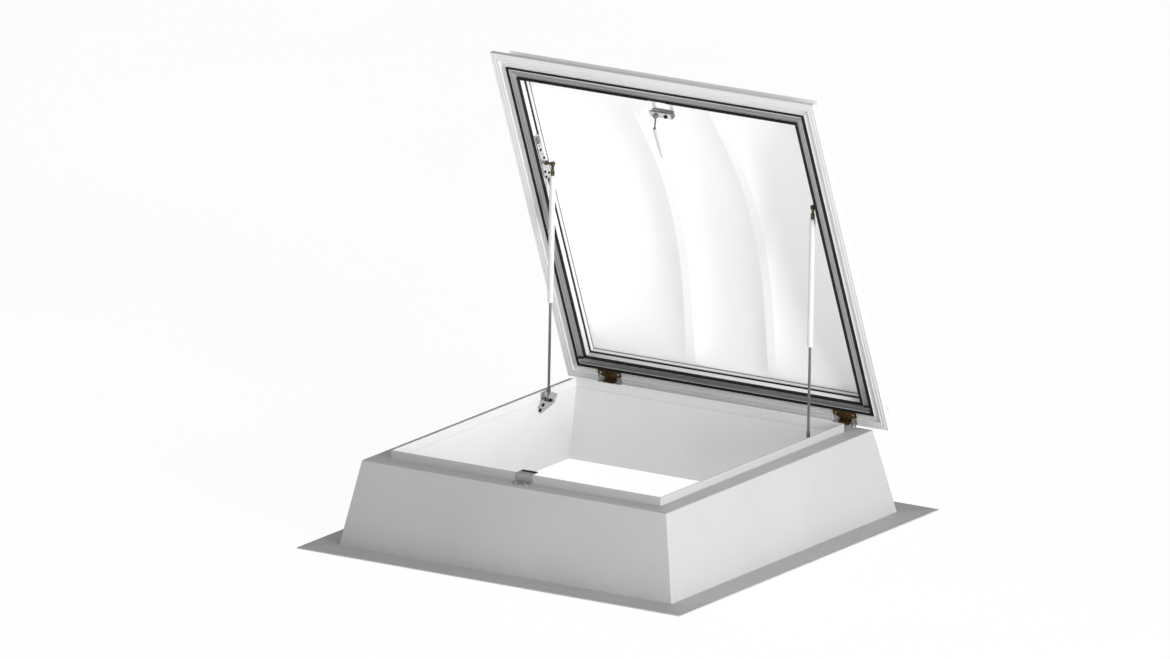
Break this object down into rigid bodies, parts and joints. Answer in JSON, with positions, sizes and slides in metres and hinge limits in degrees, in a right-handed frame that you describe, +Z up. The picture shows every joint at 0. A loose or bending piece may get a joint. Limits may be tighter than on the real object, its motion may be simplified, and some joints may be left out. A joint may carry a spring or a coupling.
{
  "type": "roof access hatch",
  "caption": "Flat-roof access hatch: flared kerb with base flange, hinged lid with a ribbed opal dome, side gas struts and an inside turn handle.",
  "frame": {"origin": "centre of the base flange's underside, on the roof surface", "axes": "+Z up, +X along the front edge, +Y from the front edge towards the hinges; the lid is at rest open"},
  "size_m": [1.444, 1.444, 1.4145],
  "materials": {
    "grey_gelcoat": "satin glass-fibre gelcoat, light grey",
    "white_liner": "smooth white laminate",
    "insulation_foam": "rigid foam, cut faces",
    "zinc_steel": "bright zinc plate",
    "dark_bronze": "dark bronzed casting",
    "dark_steel": "dark phosphated steel",
    "rod_steel": "ground and polished",
    "white_profile": "white extruded profile, satin",
    "black_rubber": "matt black sealing rubber",
    "grey_rubber": "grey sealing rubber",
    "satin_aluminium": "mill finish with fine draw lines",
    "opal_acrylic": "translucent opal white",
    "white_enamel": "white enamel",
    "white_handle": "white moulded plastic"
  },
  "bodies": {
    "kerb": {"kerb_outer_skin": "grey_gelcoat", "kerb_inner_liner": "white_liner", "kerb_insulation_core": "insulation_foam", "keeper_plate": "zinc_steel", "keeper_screw_left": "zinc_steel", "keeper_screw_right": "zinc_steel", "hinge_kerb_leaf_left": "zinc_steel", "hinge_kerb_leaf_right": "zinc_steel", "hinge_pin_left": "dark_steel", "hinge_pin_right": "dark_steel", "strut_kerb_bracket_left": "zinc_steel", "strut_kerb_bracket_right": "zinc_steel", "strut_kerb_stud_left": "dark_steel", "strut_kerb_stud_right": "dark_steel"},
    "lid": {"dome_clamp_ring": "white_profile", "dome_inner_skin": "opal_acrylic", "dome_outer_skin": "opal_acrylic", "dome_seal_tape": "black_rubber", "drip_rim": "white_profile", "gasket_carrier_back": "satin_aluminium", "gasket_carrier_front": "satin_aluminium", "gasket_carrier_left": "satin_aluminium", "gasket_carrier_right": "satin_aluminium", "glazing_bead": "white_profile", "glazing_gasket": "black_rubber", "glazing_spacer": "grey_rubber", "hinge_lid_leaf_left": "dark_bronze", "hinge_lid_leaf_right": "dark_bronze", "inner_gasket": "black_rubber", "latch_bracket": "white_profile", "latch_housing": "white_handle", "latch_screw_left": "zinc_steel", "latch_screw_right": "zinc_steel", "lid_frame_back": "white_profile", "lid_frame_front": "white_profile", "lid_frame_left": "white_profile", "lid_frame_right": "white_profile", "outer_gasket": "black_rubber", "strut_lid_bracket_left": "white_profile", "strut_lid_bracket_right": "white_profile", "strut_lid_stud_left": "dark_steel", "strut_lid_stud_right": "dark_steel"},
    "lock": {"lock_barrel": "dark_steel"},
    "handle": {"handle_spindle": "zinc_steel", "locking_tongue": "zinc_steel", "handle_arm": "dark_steel", "handle_grip": "white_handle"},
    "strut_tube_left": {"strut_cylinder_left": "white_enamel", "strut_top_fitting_left": "dark_steel", "strut_gland_left": "black_rubber"},
    "strut_rod_left": {"strut_rod_left": "rod_steel", "strut_piston_left": "dark_steel", "strut_foot_fitting_left": "rod_steel"},
    "strut_tube_right": {"strut_cylinder_right": "white_enamel", "strut_top_fitting_right": "dark_steel", "strut_gland_right": "black_rubber"},
    "strut_rod_right": {"strut_rod_right": "rod_steel", "strut_piston_right": "dark_steel", "strut_foot_fitting_right": "rod_steel"}
  },
  "joints": [
    {"name": "lid_hinge", "type": "hinge", "parent": "kerb", "child": "lid", "pos_m": [0, 0.604, 0.268], "axis": [1, 0, 0], "range_deg": [0, 70.1], "stiffness_Nm_per_rad": 40, "springref_deg": -42.97},
    {"name": "strut_swing_left", "type": "hinge", "parent": "lid", "child": "strut_tube_left", "pos_m": [-0.491, 0.3696, 1.02863], "axis": [1, 0, 0], "range_deg": [0, 18.68]},
    {"name": "strut_slide_left", "type": "slide", "parent": "strut_tube_left", "child": "strut_rod_left", "axis": [0, 0.0482, 0.9988], "range_m": [0, 0.23427]},
    {"name": "strut_swing_right", "type": "hinge", "parent": "lid", "child": "strut_tube_right", "pos_m": [0.491, 0.3696, 1.02863], "axis": [1, 0, 0], "range_deg": [0, 18.68]},
    {"name": "strut_slide_right", "type": "slide", "parent": "strut_tube_right", "child": "strut_rod_right", "axis": [0, 0.0482, 0.9988], "range_m": [0, 0.23427]},
    {"name": "handle_turn", "type": "hinge", "parent": "lid", "child": "handle", "pos_m": [-0.018, 0.26075, 1.28084], "axis": [0, 0.9403, 0.3404], "range_deg": [0, 90]},
    {"name": "key_turn", "type": "hinge", "parent": "lid", "child": "lock", "pos_m": [0.0175, 0.26075, 1.28084], "axis": [0, 0.9403, 0.3404], "range_deg": [0, 90]}
  ],
  "couplings": [
    {"joint": "strut_swing_left", "follows": "lid_hinge", "ratio": 0.26644},
    {"joint": "strut_slide_left", "follows": "lid_hinge", "m_per_rad": 0.19146},
    {"joint": "strut_swing_right", "follows": "lid_hinge", "ratio": 0.26644},
    {"joint": "strut_slide_right", "follows": "lid_hinge", "m_per_rad": 0.19146}
  ]
}
